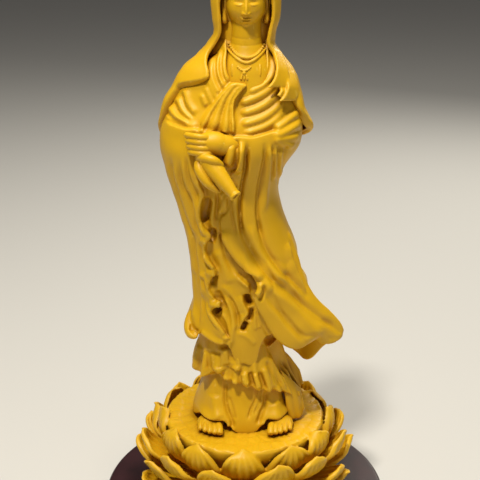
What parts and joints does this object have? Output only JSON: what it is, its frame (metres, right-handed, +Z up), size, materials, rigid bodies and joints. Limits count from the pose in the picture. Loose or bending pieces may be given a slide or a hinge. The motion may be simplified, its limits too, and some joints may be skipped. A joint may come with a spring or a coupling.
{
  "type": "guanyin figure",
  "caption": "Carved standing guanyin in layered flowing robes with a small vase, on a lotus seat and a low round turned stand.",
  "frame": {"origin": "centre of the stand's underside, on the surface that it stands on", "axes": "+Z up, the figure faces -Y, +X to the viewer's right"},
  "size_m": [0.135, 0.135, 0.262],
  "materials": {
    "golden_wood": "satin golden yellow carving, deeper orange brown in the hollows",
    "dark_wood": "dark maroon stained turned wood, satin lacquer"
  },
  "bodies": {
    "root": {"guanyin_on_lotus": "golden_wood", "round_stand": "dark_wood"}
  },
  "joints": []
}
